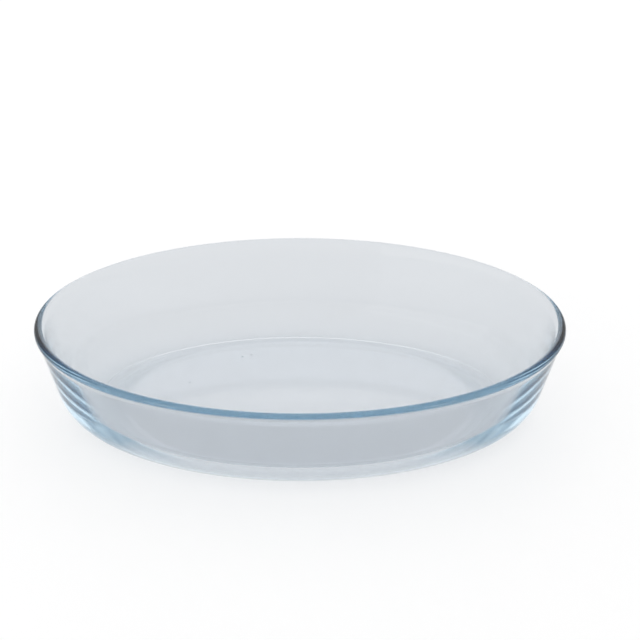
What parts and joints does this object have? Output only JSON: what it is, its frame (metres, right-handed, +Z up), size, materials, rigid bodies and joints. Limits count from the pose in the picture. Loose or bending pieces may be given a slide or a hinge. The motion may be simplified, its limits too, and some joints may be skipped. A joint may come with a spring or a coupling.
{
  "type": "oval glass baking dish",
  "caption": "Oval clear pressed-glass baking dish with a flared wall, a beaded rim, wide inner corners and a flat base, for roasting, baking and serving.",
  "frame": {"origin": "under the middle of the dish, on the surface that its flat base stands on", "axes": "+X along the length of the oval, +Y across it, +Z up"},
  "size_m": [0.35, 0.24, 0.0695],
  "materials": {
    "clear_glass": "clear fire-polished pressed glass, smooth and glossy, with a faint blue tint where the light runs along the wall"
  },
  "bodies": {
    "root": {"glass_dish": "clear_glass"}
  },
  "joints": []
}
